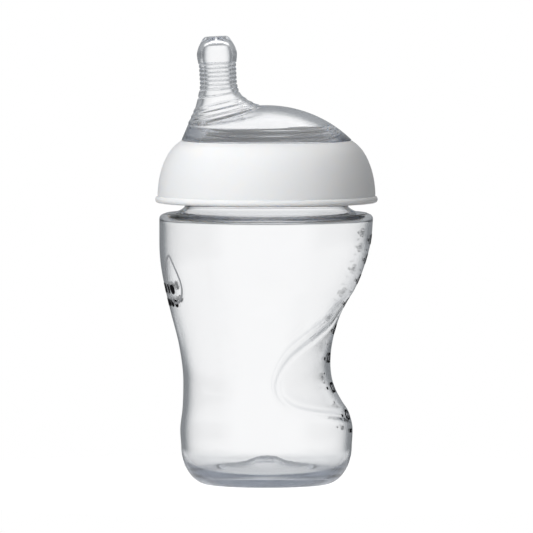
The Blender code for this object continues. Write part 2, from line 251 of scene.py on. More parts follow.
def arc(centre, radii, start, end, steps):
    turn = np.radians(np.linspace(start, end, steps))
    return [(centre[0] + radii[0] * math.cos(t), centre[1] + radii[1] * math.sin(t)) for t in turn]


def line(start, end, step):
    """Points from start to end, the end left out, no further apart than step."""
    start, end = np.array(start), np.array(end)
    count = max(1, math.ceil(np.linalg.norm(end - start) / step))
    return [tuple(start + (end - start) * i / count) for i in range(count)]


def ease(t):
    t = np.clip(t, 0, 1)
    return t * t * (3 - 2 * t)


def ridge(z, foot, shape):
    """How far a helical ridge stands out at a height, for each angle. Its middle starts at foot."""
    tall, root, crest = shape
    angle = np.degrees(turns(SIDES))
    height = np.zeros(SIDES)
    for turn in range(math.ceil(THREAD_TURNS)):
        turned = angle + 360 * turn
        from_end = np.minimum(turned, 360 * THREAD_TURNS - turned)
        off = np.abs(z - foot - THREAD_PITCH * turned / 360)
        shape_here = ease((root / 2 - off) / ((root - crest) / 2))
        height = np.maximum(height, tall * shape_here * ease(from_end / THREAD_FADE) * (from_end > 0))
    return height


def skin(name, rings, joined=False):
    """A closed smooth mesh from rings of the same number of points."""
    count = len(rings[0])
    points = np.concatenate(rings)
    levels = len(rings)
    low = np.arange(levels if joined else levels - 1)[:, None] * count
    high = (low + count) % (levels * count)
    around = np.arange(count)[None, :]
    after = (around + 1) % count
    quads = np.stack([low + around, low + after, high + after, high + around], axis=-1).reshape(-1, 4)
    faces = quads.tolist()
    if not joined:
        points = np.concatenate([points, rings[0].mean(axis=0)[None], rings[-1].mean(axis=0)[None]])
        first, last = levels * count, levels * count + 1
        top = (levels - 1) * count
        for i in range(count):
            j = (i + 1) % count
            faces.append([first, j, i])
            faces.append([last, top + i, top + j])
    mesh = bpy.data.meshes.new(name)
    mesh.from_pydata(points.tolist(), [], faces)
    mesh.update()
    mesh.shade_smooth()
    made = bpy.data.objects.new(name, mesh)
    bpy.context.scene.collection.objects.link(made)
    return made


def face_outwards(made):
    work = bmesh.new()
    work.from_mesh(made.data)
    bmesh.ops.recalc_face_normals(work, faces=work.faces)
    work.to_mesh(made.data)
    work.free()
    made.data.shade_smooth()


# ----------------------------------------------------------------------------------------------------
# Fine meshes


def mark_recess(mesh):
    """Give each point its share of the slightly frosted grip: the recess without the strip of the print."""
    shares = []
    for point in mesh.vertices:
        x, y, z = point.co
        body, recess = body_and_recess(math.atan2(y, x), max(z, HEEL_HEIGHT))
        share = np.clip(0.5 + 0.5 * (body - recess) / CREASE, 0, 1)
        share *= ease((abs(y) - PRINT_HALF_WIDTH) / GRIP_EDGE)
        shares.append(float(share) if HEEL_HEIGHT < z < BODY_HEIGHT and x > 0 else 0.0)
    mesh.attributes.new("recess", "FLOAT", "POINT").data.foreach_set("value", shares)


def bottle_mesh():
    body_top = BODY_HEIGHT - SHOULDER_EDGE
    angle = turns(SIDES)
    outline = [(r, floor_height(r) - FLOOR_THICKNESS) for r in np.linspace(FLOOR_MIDDLE, PUSHED_UP, 24)]
    edge = (STANDING_EDGE, STANDING_EDGE)
    outline += arc((STANDING_RADIUS - STANDING_WIDTH, STANDING_EDGE), edge, 200, 270, 5)
    heel = (side(HEEL_HEIGHT) - STANDING_RADIUS, HEEL_HEIGHT)
    outline += arc((STANDING_RADIUS, HEEL_HEIGHT), heel, -90, -3, 40)
    rings = [ring_at(r, z) for r, z in outline]
    heights = np.linspace(HEEL_HEIGHT, body_top, round((body_top - HEEL_HEIGHT) / FINE))
    rings += [ring_at(body_radius(angle, z), z) for z in heights]

    top = body_radius(angle, body_top)
    for t in np.radians(np.linspace(6, 90, 12)):
        radius = top - SHOULDER_EDGE * (1 - math.cos(t))
        rings.append(ring_at(radius, body_top + SHOULDER_EDGE * math.sin(t)))
    wide, high = NECK_FILLET
    outline = arc((NECK_RADIUS + wide, BODY_HEIGHT + SHOULDER_RISE + high), NECK_FILLET, 270, 180, 14)
    rings += [ring_at(r, z) for r, z in outline]
    for z in np.arange(outline[-1][1] + 1 * MM, RIM_HEIGHT - 0.9 * MM, THREAD_ROW):
        rings.append(ring_at(NECK_RADIUS + ridge(z, THREAD_BOTTOM, NECK_RIDGE), z))
    outline = arc((NECK_RADIUS - RIM_EDGE[0], RIM_HEIGHT - RIM_EDGE[1]), RIM_EDGE, 0, 90, 6)
    outline += arc((NECK_BORE + RIM_EDGE[0], RIM_HEIGHT - RIM_EDGE[1]), RIM_EDGE, 90, 180, 6)
    inside = BODY_HEIGHT - WALL
    wide, high = INNER_FILLET
    corner = (NECK_BORE + wide, inside + SHOULDER_RISE + high)
    outline += line((NECK_BORE, RIM_HEIGHT - 1.2 * MM), (NECK_BORE, corner[1] + 0.5 * MM), 1.5 * MM)
    outline += arc(corner, INNER_FILLET, 180, 270, 14)
    rings += [ring_at(r, z) for r, z in outline]

    edge = SHOULDER_EDGE * 0.7
    top = body_radius(angle, body_top) - WALL
    for t in np.radians(np.linspace(90, 6, 10)):
        rings.append(ring_at(top - edge * (1 - math.cos(t)), inside - edge + edge * math.sin(t)))
    inner = [z for z in heights[::-1] if z < inside - edge - FINE]
    rings += [ring_at(body_radius(angle, z) - WALL - crease_ridge(angle, z), z) for z in inner]
    floor_edge = FLOOR[-1][0] * MM
    heel = (side(HEEL_HEIGHT) - WALL - floor_edge, HEEL_HEIGHT - floor_height(floor_edge))
    outline = arc((floor_edge, HEEL_HEIGHT), heel, -4, -90, 36)
    outline += [(r, floor_height(r)) for r in np.linspace(FLOOR_INSIDE, FLOOR_MIDDLE, 40)]
    rings += [ring_at(r, z) for r, z in outline]
    made = skin("bottle_fine", rings)
    face_outwards(made)
    mark_recess(made.data)
    return made


def screw_ring_mesh():
    soft = RING_SOFT
    small = (soft, soft)
    foot = RING_BOTTOM + RING_EDGE
    foot_edge = arc((RING_BORE + soft, foot + soft), small, 270, 180, 4)
    rings = [ring_at(r, z) for r, z in foot_edge]
    for z in np.arange(foot + RING_EDGE, RING_LIP_UNDERSIDE - 0.6 * MM, THREAD_ROW):
        rings.append(ring_at(RING_BORE - ridge(z, THREAD_BOTTOM - THREAD_PITCH / 2, RING_RIDGE), z))
    rim = [(r * MM, RING_TOP - below * MM) for r, below in RING_RIM]
    outline = arc((RING_BORE - soft, RING_LIP_UNDERSIDE - soft), small, 0, 90, 4)
    outline += arc((RING_LIP_HOLE + soft, RING_LIP_UNDERSIDE + soft), small, 270, 180, 4)
    outline += arc((RING_LIP_HOLE + soft, RING_LIP_TOP - soft), small, 180, 95, 4)
    outline += line((RING_LIP_HOLE + soft, RING_LIP_TOP), rim[0], 1.0 * MM)
    outline += rim
    outline += arc(RING_CENTRE, RING_DOME, 71, 3.2, 60)
    outline += [(r * MM, z * MM) for r, z in RING_WAIST]
    outline += arc((BEAD_RADIUS - BEAD[0], RING_BOTTOM + BEAD[1]), BEAD, 72, -90, 14)
    outline += [(r * MM, RING_BOTTOM + above * MM) for r, above in RING_FOOT]
    outline += arc(RING_CENTRE, tuple(h - RING_SHELL for h in RING_DOME), 0, 52, 20)
    outline += [(RING_SLEEVE + wider * MM, z * MM) for wider, z in SLEEVE_CORNER]
    outline += line((RING_SLEEVE, SLEEVE_TOP), (RING_SLEEVE, foot + RING_EDGE), 2 * MM)
    outline += [(RING_SLEEVE, foot + 0.5 * MM), (RING_SLEEVE - soft, foot)]
    rings += [ring_at(r, z) for r, z in outline]
    made = skin("screw_ring_fine", rings, joined=True)
    face_outwards(made)
    made.data.set_sharp_from_angle(angle=math.radians(50))
    return made


def circle_between(near, far):
    """A circle across the teat between an (x, z) point on the dome's side and one on the outer side."""
    near, far = np.array(near), np.array(far)
    centre, along = (near + far) / 2, (near - far) / 2
    angle = turns(TEAT_SIDES)
    ring = np.empty((TEAT_SIDES, 3))
    ring[:, 0] = centre[0] + along[0] * np.cos(angle)
    ring[:, 1] = np.linalg.norm(along) * np.sin(angle)
    ring[:, 2] = centre[1] + along[1] * np.cos(angle)
    return ring


def nipple_circle(height, radius):
    """A circle round the nipple's axis at a height from its waist."""
    axis = np.array((-math.sin(NIPPLE_LEAN), math.cos(NIPPLE_LEAN)))
    across = np.array((axis[1], -axis[0]))
    centre = np.array(NIPPLE_WAIST) + axis * height
    return circle_between(centre + across * radius, centre - across * radius)


def dome_surface(share, angle):
    """The outside of the dome, from its foot at share 0 to the nipple's foot at 1, for arrays of values."""
    dome = (DOME_RADIUS**2 + DOME_RISE**2) / (2 * DOME_RISE)
    first = math.asin(DOME_RADIUS / dome)
    last = math.asin(FLARE_NEAR[0][0] * MM / dome)
    turn = first + (last - first) * share
    near_x, near_z = dome * np.sin(turn), DOME_FOOT + DOME_RISE - dome + dome * np.cos(turn)
    far_x = -DOME_RADIUS + (FLARE_FAR[0][0] * MM + DOME_RADIUS) * share
    far_z = DOME_FOOT + (FLARE_FAR[0][1] * MM - DOME_FOOT) * share
    radius = np.hypot(near_x - far_x, near_z - far_z) / 2
    x = (near_x + far_x + (near_x - far_x) * np.cos(angle)) / 2
    z = (near_z + far_z + (near_z - far_z) * np.cos(angle)) / 2
    return np.stack([x, radius * np.sin(angle), z], axis=-1)


def dome_inside(steps):
    """Rings on the inside of the dome, one wall's thickness from the outside, from the collar upwards."""
    angle = turns(TEAT_SIDES)
    shares = np.linspace(0, 1, 300)
    heights = dome_surface(shares[:, None], angle[None, :])[..., 2]
    foot, lean = INNER_FOOT
    begin = foot + lean * np.cos(angle)
    start = np.array([np.interp(begin[i], heights[:, i], shares) for i in range(TEAT_SIDES)])
    small = 1e-4
    rings = []
    for part in np.linspace(0, 0.97, steps):
        share = start + (1 - start) * part
        place = dome_surface(share, angle)
        up = dome_surface(share + small, angle) - place
        around = dome_surface(share, angle + small) - place
        outward = np.cross(around, up)
        rings.append(place - TEAT_WALL * outward / np.linalg.norm(outward, axis=1)[:, None])
    return rings


def through(points, share):
    """The place at a share of a list of points, along a Catmull-Rom curve through them."""
    p = np.array(points) * MM
    at = min(share, 1 - 1e-9) * (len(p) - 1)
    i = int(at)
    t = at - i
    before = p[i - 1] if i else 2 * p[0] - p[1]
    after = p[i + 2] if i + 2 < len(p) else 2 * p[-1] - p[-2]
    straight = (p[i + 1] - before) * t
    square = (2 * before - 5 * p[i] + 4 * p[i + 1] - after) * t**2
    cube = (3 * p[i] - before - 3 * p[i + 1] + after) * t**3
    return 0.5 * (2 * p[i] + straight + square + cube)


def flare_circle(share, wall, rib=0.0):
    """A circle round the nipple's foot, moved in by a wall's thickness and out by a rib's height."""
    near, far = through(FLARE_NEAR, share), through(FLARE_FAR, share)
    along = (near - far) / np.linalg.norm(near - far)
    down = np.array((along[1], -along[0])) * wall * (1 - share) * 0.6
    inset = along * (wall * (0.55 + 0.45 * share) - rib)
    return circle_between(near - inset + down, far + inset + down)


def groove(height):
    """How deep a groove is at a height along the nipple from its waist."""
    nearest = min(max(round((height - GROOVES_FROM) / GROOVE_PITCH), 0), GROOVES - 1)
    off = height - GROOVES_FROM - nearest * GROOVE_PITCH
    return GROOVE_DEPTH * math.exp(-((off / GROOVE_HALF_WIDTH) ** 2))


def foot_wave(share):
    """How far the steps at the nipple's foot stand out at a share of the flare."""
    height = 0.5 - 0.5 * math.cos(TURN * FOOT_WAVES * share / FOOT_WAVE_END)
    return FOOT_WAVE_HEIGHT * height if share < FOOT_WAVE_END else 0.0


def teat_foot():
    """The round part of the teat, in section: under the dome, round groove and flange, up the collar."""
    soft = TEAT_SOFT
    small = (soft, soft)
    section = arc((DOME_RADIUS - soft, DOME_FOOT), small, -15, -90, 4)
    groove_top = (GROOVE_RADIUS + soft, RING_LIP_TOP + soft)
    section += line((DOME_RADIUS - 2 * soft, DOME_FOOT - soft), groove_top, 1.0 * MM)
    section += arc((GROOVE_RADIUS + soft, RING_LIP_TOP), small, 90, 180, 4)
    section += arc((GROOVE_RADIUS + soft, FLANGE_TOP + soft), small, 180, 270, 4)
    section += arc((FLANGE_RADIUS - soft, FLANGE_TOP - soft), small, 90, 0, 4)
    section += arc((FLANGE_RADIUS - soft, FLANGE_FOOT + soft), small, 0, -90, 4)
    section += line((FLANGE_RADIUS - 2 * soft, FLANGE_FOOT), (TEAT_BORE + 2 * soft, FLANGE_FOOT), 1.0 * MM)
    section += arc((TEAT_BORE + soft, FLANGE_FOOT + soft), small, 270, 190, 4)
    for r, z in line((TEAT_BORE, FLANGE_FOOT + 3 * soft), COLLAR_TOP, 0.2 * MM):
        section.append((r + COLLAR_WAVE * math.sin(TURN * (COLLAR_TOP[1] - z) / COLLAR_WAVE_LENGTH), z))
    return section + [COLLAR_TOP]


def teat_mesh():
    angle = turns(TEAT_SIDES)
    rings = [nipple_circle(NIPPLE_TIP - 0.1 * MM, MILK_HOLE)]
    rings += [nipple_circle(NIPPLE_TIP, r) for r in np.linspace(MILK_HOLE + 0.1 * MM, 3.9 * MM, 6)]
    for top, bottom, step in NIPPLE_ROWS:
        for height in np.arange(top, bottom, -step) * MM:
            rings.append(nipple_circle(height, nipple_radius(height) - groove(height)))
    for share in np.linspace(1, 0, 76):
        rings.append(flare_circle(share, 0.0, foot_wave(share) - groove(-(1 - share) * FLARE_LENGTH)))
    for share in np.linspace(0.985, 0, 60):
        rings.append(dome_surface(share, angle))
    rings += [ring_at(r, z, TEAT_SIDES) for r, z in teat_foot()]
    rings += dome_inside(40)
    rings += [flare_circle(share, NIPPLE_WALL) for share in np.linspace(INNER_FLARE_FROM, 1, 30)]
    for height in np.arange(0.5, INNER_TIP_FROM / MM, 0.4) * MM:
        rings.append(nipple_circle(height, nipple_radius(height) - NIPPLE_WALL))
    widest = nipple_radius(INNER_TIP_FROM) - NIPPLE_WALL
    for t in np.linspace(0.0, 0.97, 24):
        height = INNER_TIP_FROM + (INNER_TIP - INNER_TIP_FROM) * math.sin(t * math.pi / 2) ** 0.8
        rings.append(nipple_circle(height, widest * math.cos(t * math.pi / 2)))
    made = skin("teat_fine", rings, joined=True)
    face_outwards(made)
    made.data.set_sharp_from_angle(angle=math.radians(60))
    return made


# ----------------------------------------------------------------------------------------------------
# Printed scale and mark

INK = 0.08 * MM  # how far the print reaches to either side of the bottle's surface
OUNCES = [25.6, 35.5, 46.2, 56.5, 66.0, 74.4, 81.8, 88.9]  # heights of the marks for 2, 3 ... ounces, in mm
MILLILITRES = [  # (volume, height of its mark in millimetres)
    (0, 3.0), (60, 28.0), (90, 38.2), (120, 48.8), (150, 59.0), (180, 68.5), (210, 77.0), (240, 85.0),
    (260, 90.5),
]
LABEL_HEIGHT = 20.0 * MM
LABEL_FIGURE = 2.0 * MM  # how tall its letters are
FIGURE_SHARE = 0.7  # how tall a numeral is, as a share of the font's size
FIGURE_WEIGHT = 0.04  # how much bolder it is made, as a share of its height
OUNCE_PLACE = -6.2 * MM
OUNCE_DOT = -6.4 * MM  # from the mark
OUNCE_SHIFT = [(56.5, 0.0), (66.0, 2.6), (88.9, 3.8)]  # height, and how far back a mark there sits
OUNCE_HOOP = (2.9 * MM, 1.55 * MM)
OUNCE_LINE = 0.7 * MM
OUNCE_FIGURE = 1.8 * MM
OUNCE_BIG_DOT = 0.6 * MM
SMALL_DOT = 0.3 * MM
MILLILITRE_PLACE = 11.2 * MM
MILLILITRE_DOT = 15.6 * MM
MILLILITRE_HOOP = (2.5 * MM, 1.5 * MM)
MILLILITRE_LINE = 0.35 * MM
MILLILITRE_FIGURE = 1.4 * MM
MILLILITRE_BIG_DOT = 0.5 * MM
MARK_FACING = math.radians(204)
PATTERN_FACING = math.radians(180)
PATTERN = [(71.3 * MM, 1.8 * MM, 7), (66.2 * MM, 1.4 * MM, 9)]  # height, radius and number of its dots
PATTERN_PITCH = 2.6  # in radii


def on_body(across, z, facing, lift):
    """The place on the body at a distance to the right and a height, as seen by someone who faces it."""
    angle = facing
    for _ in range(6):
        radius = float(body_radius(np.array([angle]), z)[0])
        angle = facing + math.asin(max(-0.95, min(0.95, across / radius)))
    radius += lift
    return (radius * math.cos(angle), radius * math.sin(angle), z)


def wrapped(name, shapes, facing):
    """One object of flat shapes, each (points, faces) with z as its thickness, laid round the body."""
    points, faces = [], []
    for shape_points, shape_faces in shapes:
        first = len(points)
        points += [on_body(x, y, facing, lift) for x, y, lift in shape_points]
        faces += [[first + i for i in face] for face in shape_faces]
    mesh = bpy.data.meshes.new(name)
    mesh.from_pydata(points, [], faces)
    made = bpy.data.objects.new(name, mesh)
    bpy.context.scene.collection.objects.link(made)
    face_outwards(made)
    made.data.set_sharp_from_angle(angle=math.radians(40))
    return made


def oval(place, radii, sides):
    return [(place[0] + radii[0] * math.cos(t), place[1] + radii[1] * math.sin(t)) for t in turns(sides)]


def dot(place, radius, sides=14):
    circle = oval(place, (radius, radius), sides)
    points = [(x, y, -INK) for x, y in circle] + [(x, y, INK) for x, y in circle]
    faces = [list(range(sides))[::-1], list(range(sides, 2 * sides))]
    faces += [[i, (i + 1) % sides, sides + (i + 1) % sides, sides + i] for i in range(sides)]
    return points, faces


def outline(path, width):
    """A closed line of some width along a path of points."""
    path = np.array(path)
    along = np.roll(path, -1, axis=0) - np.roll(path, 1, axis=0)
    along /= np.linalg.norm(along, axis=1)[:, None]
    across = np.stack([along[:, 1], -along[:, 0]], axis=1) * width / 2
    points = []
    for direction, lift in ((1, INK), (-1, INK), (-1, -INK), (1, -INK)):
        points += [(x, y, lift) for x, y in path + across * direction]
    count = len(path)
    faces = []
    for i in range(count):
        j = (i + 1) % count
        for row in range(4):
            low, high = row * count, (row + 1) % 4 * count
            faces.append([low + i, low + j, high + j, high + i])
    return points, faces


def hoop(place, radii, width, sides=28):
    return outline(oval(place, radii, sides), width)


def figures(text, place, tall):
    """Numerals in Blender's own plain font."""
    letters = bpy.data.curves.new("figures", "FONT")
    letters.body = text
    letters.align_x = "CENTER"
    letters.align_y = "CENTER"
    letters.size = tall / FIGURE_SHARE
    letters.offset = tall * FIGURE_WEIGHT
    letters.extrude = INK
    letters.resolution_u = 3
    holder = bpy.data.objects.new("figures", letters)
    bpy.context.scene.collection.objects.link(holder)
    mesh = bpy.data.meshes.new_from_object(holder.evaluated_get(bpy.context.evaluated_depsgraph_get()))
    bpy.data.objects.remove(holder)
    work = bmesh.new()
    work.from_mesh(mesh)
    bmesh.ops.remove_doubles(work, verts=work.verts, dist=0.002 * MM)
    points = [(place[0] + v.co.x, place[1] + v.co.y, v.co.z) for v in work.verts]
    faces = [[v.index for v in face.verts] for face in work.faces]
    work.free()
    return points, faces


def ounce_place(height):
    heights, shifts = zip(*OUNCE_SHIFT)
    return np.array((OUNCE_PLACE + np.interp(height, heights, shifts) * MM, height * MM))


def ounce_scale():
    shapes = [figures("oz", (OUNCE_PLACE, LABEL_HEIGHT), LABEL_FIGURE)]
    for number, height in enumerate(OUNCES, start=2):
        place = ounce_place(height)
        shapes.append(dot(place + (OUNCE_DOT, 0), OUNCE_BIG_DOT))
        shapes.append(hoop(place, OUNCE_HOOP, OUNCE_LINE))
        shapes.append(figures(str(number), place, OUNCE_FIGURE))
    for low, high in zip(OUNCES, OUNCES[1:]):
        shapes.append(dot(ounce_place((low + high) / 2) + (OUNCE_DOT, 0), SMALL_DOT))
    return wrapped("ounce_scale", shapes, 0.0)


def millilitre_scale():
    shapes = [figures("ml", (MILLILITRE_PLACE, LABEL_HEIGHT), LABEL_FIGURE)]
    for number, height in MILLILITRES[1:]:
        place = (MILLILITRE_PLACE, height * MM)
        shapes.append(dot((MILLILITRE_DOT, height * MM), MILLILITRE_BIG_DOT))
        shapes.append(hoop(place, MILLILITRE_HOOP, MILLILITRE_LINE))
        shapes.append(figures(str(number), place, MILLILITRE_FIGURE))
    volumes, heights = zip(*MILLILITRES)
    for volume in range(40, 260, 10):
        if volume not in volumes:
            height = float(np.interp(volume, volumes, heights))
            shapes.append(dot((MILLILITRE_DOT, height * MM), SMALL_DOT))
    return wrapped("millilitre_scale", shapes, 0.0)


def drop_mark():
    """The outline of a drop: round below, drawn out to a point above."""
    height, radius, tip = 73.0 * MM, 6.6 * MM, 10.5 * MM
    path = []
    for t in turns(56):
        sharp = max(0.0, math.sin(t)) ** 3
        across = radius * math.cos(t) * (1 - 0.25 * sharp)
        path.append((across, height + radius * math.sin(t) + (tip - radius) * sharp))
    return wrapped("drop_mark", [outline(path, 0.9 * MM)], MARK_FACING)


def mark_pattern():
    """Two rows of dots."""
    shapes = []
    for height, radius, count in PATTERN:
        for i in range(count):
            across = (i - (count - 1) / 2) * PATTERN_PITCH * radius
            shapes.append(dot((across, height), radius, 28))
    return wrapped("mark_pattern", shapes, PATTERN_FACING)


# ----------------------------------------------------------------------------------------------------
# Materials


POLYPROPYLENE_IOR = 1.49
SILICONE_IOR = 1.41
INK_IOR = 1.4
GRIP_ROUGHNESS = 0.115  # added on the frosted grip
UNDERSIDE_ROUGHNESS = 0.10  # added where the bottle stands
FLOOR_SHADE_REACH = (18.0 * MM, 26.0 * MM)  # painted shade on the bottle's thick floor fades out between these distances from the axis
FLOOR_SHADE_TOP = (10.0 * MM, 12.0 * MM)  # and between these heights
# colour of that painted shade: a grey put into the clear plastic's colour at its floor, standing in for the
# darker look of the base
FLOOR_PAINTED_SHADE = (0.77, 0.78, 0.795)


class Nodes:
    """A material's node tree, with short calls to add to it."""

    def __init__(self, name):
        self.material = bpy.data.materials.new(name)
        self.material.use_nodes = True
        self.tree = self.material.node_tree
        self.shader = self.tree.nodes["Principled BSDF"]
        self.output = self.tree.nodes["Material Output"]

    def set(self, **values):
        for key, value in values.items():
            self.shader.inputs[key.replace("_", " ")].default_value = value

    def add(self, kind, **values):
        node = self.tree.nodes.new(kind)
        for key, value in values.items():
            if hasattr(node, key):
                setattr(node, key, value)
            else:
                node.inputs[key.replace("_", " ")].default_value = value
        return node

    def join(self, source, target):
        self.tree.links.new(source, target)

    def noise(self, scale, detail=2.0, stretch=(1, 1, 1)):
        place = self.add("ShaderNodeTexCoord")
        mapping = self.add("ShaderNodeMapping")
        mapping.inputs["Scale"].default_value = stretch
        texture = self.add("ShaderNodeTexNoise", Scale=scale, Detail=detail)
        self.join(place.outputs["Object"], mapping.inputs["Vector"])
        self.join(mapping.outputs["Vector"], texture.inputs["Vector"])
        return texture.outputs["Fac"]

    def ramp(self, source, low, high, start=0.3, end=0.7):
        """The source's values from start to end, spread from low to high."""
        node = self.add("ShaderNodeMapRange")
        self.join(source, node.inputs["Value"])
        for key, value in (("From Min", start), ("From Max", end), ("To Min", low), ("To Max", high)):
            node.inputs[key].default_value = value
        return node.outputs["Result"]

    def bump(self, sources, distance):
        """Bumps in metres, chained from several heights with their strengths."""
        normal = None
        for source, strength in sources:
            node = self.add("ShaderNodeBump", Strength=strength, Distance=distance)
            self.join(source, node.inputs["Height"])
            if normal:
                self.join(normal, node.inputs["Normal"])
            normal = node.outputs["Normal"]
        self.join(normal, self.shader.inputs["Normal"])

    def colours(self, source, low, high):
        """A colour that goes from low to high as the source goes from 0 to 1."""
        node = self.add("ShaderNodeMix", data_type="RGBA")
        self.join(source, node.inputs["Factor"])
        for key, value in (("A", low), ("B", high)):
            next(s for s in node.inputs if s.name == key and s.type == "RGBA").default_value = (*value, 1)
        return next(s for s in node.outputs if s.type == "RGBA")

    def absorb(self, colour, density):
        node = self.add("ShaderNodeVolumeAbsorption")
        node.inputs["Color"].default_value = (*colour, 1)
        node.inputs["Density"].default_value = density
        self.join(node.outputs["Volume"], self.output.inputs["Volume"])


def clear_polypropylene():
    made = Nodes("clear_polypropylene")
    made.set(Base_Color=(1, 1, 1, 1), Metallic=0.0, IOR=POLYPROPYLENE_IOR, Transmission_Weight=1.0)
    cloud = made.noise(60.0, 3.0, (1, 1, 0.35))
    place = made.add("ShaderNodeTexCoord")
    split = made.add("ShaderNodeSeparateXYZ")
    made.join(place.outputs["Object"], split.inputs["Vector"])
    frosted = made.ramp(split.outputs["Z"], UNDERSIDE_ROUGHNESS, 0.0, 4.0 * MM, 10.0 * MM)
    roughness = made.add("ShaderNodeMath", operation="ADD")
    made.join(made.ramp(cloud, 0.015, 0.05), roughness.inputs[0])
    made.join(frosted, roughness.inputs[1])
    recess = made.add("ShaderNodeAttribute", attribute_name="recess")
    grip = made.add("ShaderNodeMath", operation="MULTIPLY_ADD")
    made.join(recess.outputs["Fac"], grip.inputs[0])
    grip.inputs[1].default_value = GRIP_ROUGHNESS
    made.join(roughness.outputs[0], grip.inputs[2])
    made.join(grip.outputs[0], made.shader.inputs["Roughness"])
    flat = made.add("ShaderNodeVectorMath", operation="MULTIPLY")
    flat.inputs[1].default_value = (1, 1, 0)
    reach = made.add("ShaderNodeVectorMath", operation="LENGTH")
    made.join(place.outputs["Object"], flat.inputs[0])
    made.join(flat.outputs["Vector"], reach.inputs[0])
    # painted shade: the clear plastic's colour is greyed where its thick floor is, standing in for the shade
    # seen there
    floor_shade_share = made.add("ShaderNodeMath", operation="MULTIPLY")
    made.join(made.ramp(reach.outputs["Value"], 1.0, 0.0, *FLOOR_SHADE_REACH), floor_shade_share.inputs[0])
    made.join(made.ramp(split.outputs["Z"], 1.0, 0.0, *FLOOR_SHADE_TOP), floor_shade_share.inputs[1])
    made.join(made.colours(floor_shade_share.outputs[0], (1, 1, 1), FLOOR_PAINTED_SHADE), made.shader.inputs["Base Color"])
    made.bump([(made.noise(45.0, 1.0, (1, 1, 0.3)), 0.2), (made.noise(900.0, 2.0), 0.02)], 0.0006)
    made.absorb((0.85, 0.87, 0.905), 70.0)
    return made.material


def clear_silicone():
    made = Nodes("clear_silicone")
    made.set(Base_Color=(1, 1, 1, 1), Metallic=0.0, IOR=SILICONE_IOR, Transmission_Weight=1.0)
    made.join(made.ramp(made.noise(150.0, 3.0), 0.02, 0.09), made.shader.inputs["Roughness"])
    made.bump([(made.noise(120.0, 1.0), 0.15), (made.noise(1500.0, 2.0), 0.03)], 0.0004)
    made.absorb((0.84, 0.855, 0.885), 90.0)
    return made.material


def white_polypropylene():
    made = Nodes("white_polypropylene")
    made.set(Metallic=0.0, IOR=POLYPROPYLENE_IOR, Subsurface_Weight=0.8, Subsurface_Scale=0.003)
    made.shader.inputs["Subsurface Radius"].default_value = (1.0, 0.9, 0.8)
    white = made.colours(made.noise(35.0, 3.0), (0.935, 0.935, 0.93), (0.965, 0.965, 0.96))
    made.join(white, made.shader.inputs["Base Color"])
    made.join(made.ramp(made.noise(400.0, 4.0), 0.30, 0.42), made.shader.inputs["Roughness"])
    made.bump([(made.noise(2500.0, 3.0), 0.12), (made.noise(50.0, 1.0), 0.05)], 0.0002)
    return made.material


def ink(name, dark, light):
    made = Nodes(name)
    made.set(Metallic=0.0, IOR=INK_IOR, Specular_IOR_Level=0.02)
    made.join(made.colours(made.noise(300.0, 3.0), dark, light), made.shader.inputs["Base Color"])
    made.join(made.ramp(made.noise(700.0), 0.7, 0.9), made.shader.inputs["Roughness"])
    made.bump([(made.noise(4000.0), 0.1)], 0.00005)
    return made.material


# ----------------------------------------------------------------------------------------------------
# Studio and camera

PICTURE_WIDTH = 193.0 * MM  # what the frame takes in at the bottle's axis
TARGET = Vector((0, 0, 78.9 * MM))
CAMERA_DISTANCE = 4.0
CAMERA_RISE = math.radians(2.8)
SENSOR = 36.0
FLOOR_RADIUS = 0.16
FLOOR_HEIGHT = -0.2 * MM
FLOOR_GLOW = 1.0
STRIPS = 8  # bright strips round the studio, seen through the clear pieces
STRIP_LIGHT = 1.0
BETWEEN_STRIPS = 0.25
GAP = 0.3  # brightness between the strips' upper ends and what is overhead
OVERHEAD = 1.4
BELOW = 0.76
MIRRORED_FRONT = 0.8  # brightness of what the pieces reflect, in front and behind
MIRRORED_BACK = 0.27
MIRRORED_HIGHER = 0.42
SHADE = (0.88, 0.94, 1.0)  # tint of the studio's darker parts
AMBIENT = 0.175  # brightness of what lights the opaque pieces from all sides
WINDOW_POWER = 19.9
WINDOW_SIZE = (0.9, 1.2)
WINDOW_PLACE = Vector((-0.78, -1.2, 0.7))


def camera():
    scene = bpy.context.scene
    lens = bpy.data.cameras.new("camera")
    lens.sensor_width = SENSOR
    lens.lens = SENSOR * CAMERA_DISTANCE / PICTURE_WIDTH
    lens.clip_end = 50
    eye = bpy.data.objects.new("camera", lens)
    eye.location = TARGET + CAMERA_DISTANCE * Vector((0, -math.cos(CAMERA_RISE), math.sin(CAMERA_RISE)))
    eye.rotation_euler = (TARGET - eye.location).to_track_quat("-Z", "Y").to_euler()
    scene.collection.objects.link(eye)
    scene.camera = eye


def floor():
    disc = skin("floor", [ring_at(r, FLOOR_HEIGHT, 64) for r in (0.01, 0.06, FLOOR_RADIUS)])
    paper = Nodes("white_paper")
    paper.set(Roughness=0.9, Emission_Strength=FLOOR_GLOW)
    paper.shader.inputs["Emission Color"].default_value = (1, 1, 1, 1)
    white = paper.colours(paper.noise(3.0), (0.93, 0.93, 0.93), (0.95, 0.95, 0.95))
    paper.join(white, paper.shader.inputs["Base Color"])
    disc.data.materials.append(paper.material)
    disc.visible_glossy = False
    disc.visible_transmission = False
    disc.visible_diffuse = False


